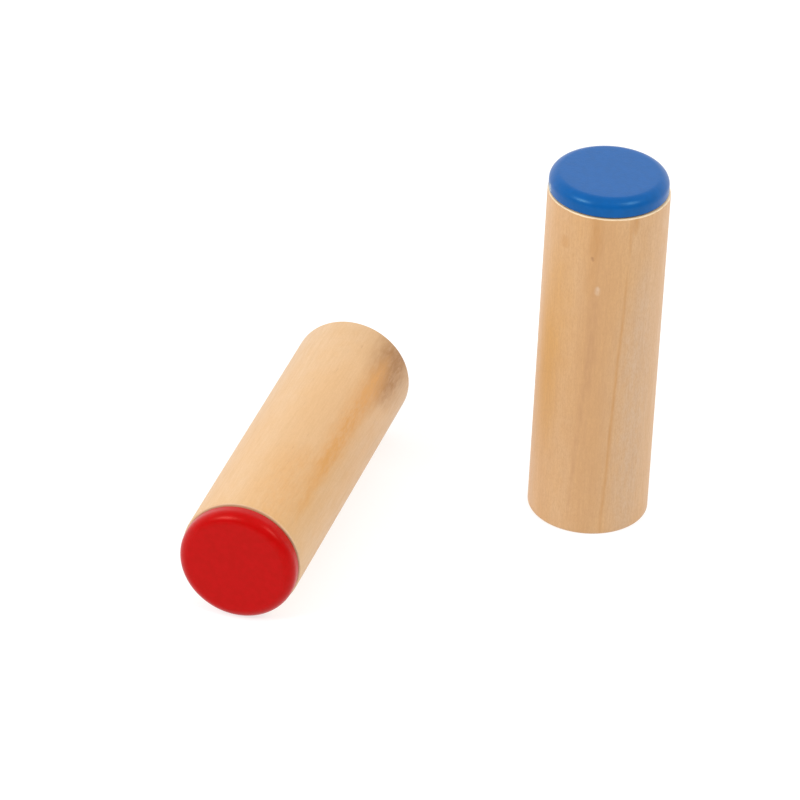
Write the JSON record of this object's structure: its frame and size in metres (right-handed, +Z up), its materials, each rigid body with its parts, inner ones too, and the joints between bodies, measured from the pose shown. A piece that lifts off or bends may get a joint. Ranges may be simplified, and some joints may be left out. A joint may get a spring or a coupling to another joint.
{
  "type": "wooden sound cylinders",
  "caption": "Wooden sound cylinders: short thick turned shakers with rounded red and blue push-in caps, hollow and part filled with loose beads that rattle when shaken.",
  "frame": {"origin": "on the surface that both cylinders rest on, under the middle of the pair's bounding box", "axes": "+Z up along the standing cylinder; the lying cylinder runs along Y with its cap towards -Y, and stands off to -X"},
  "size_m": [0.1224, 0.1212, 0.1207],
  "materials": {
    "body_wood": "pale close-grained hardwood, satin clear lacquer",
    "blue_paint": "wood under semi-gloss blue paint",
    "red_paint": "wood under semi-gloss red paint",
    "bead_wood": "plain turned hardwood, unfinished"
  },
  "bodies": {
    "blue_cylinder": {"blue_body": "body_wood"},
    "blue_cap": {"blue_cap": "blue_paint"},
    "blue_beads": {"blue_bead_01": "bead_wood", "blue_bead_02": "bead_wood", "blue_bead_03": "bead_wood", "blue_bead_04": "bead_wood", "blue_bead_05": "bead_wood", "blue_bead_06": "bead_wood", "blue_bead_07": "bead_wood", "blue_bead_08": "bead_wood", "blue_bead_09": "bead_wood", "blue_bead_10": "bead_wood"},
    "red_cylinder": {"red_body": "body_wood"},
    "red_cap": {"red_cap": "red_paint"},
    "red_beads": {"red_bead_01": "bead_wood", "red_bead_02": "bead_wood", "red_bead_03": "bead_wood", "red_bead_04": "bead_wood", "red_bead_05": "bead_wood", "red_bead_06": "bead_wood", "red_bead_07": "bead_wood", "red_bead_08": "bead_wood", "red_bead_09": "bead_wood", "red_bead_10": "bead_wood"}
  },
  "joints": [
    {"name": "blue_cap_pull", "type": "slide", "parent": "blue_cylinder", "child": "blue_cap", "axis": [0, 0, 1], "range_m": [0, 0.04]},
    {"name": "blue_beads_slide", "type": "slide", "parent": "blue_cylinder", "child": "blue_beads", "axis": [0, 0, 1], "range_m": [0, 0.08]},
    {"name": "red_cylinder_lift", "type": "slide", "parent": "blue_cylinder", "child": "red_cylinder", "axis": [0, 0, 1], "range_m": [0, 0.13]},
    {"name": "red_cap_pull", "type": "slide", "parent": "red_cylinder", "child": "red_cap", "axis": [0, -1, 0], "range_m": [0, 0.04]},
    {"name": "red_beads_slide", "type": "slide", "parent": "red_cylinder", "child": "red_beads", "axis": [0, -1, 0], "range_m": [-0.0255, 0.0255]}
  ]
}
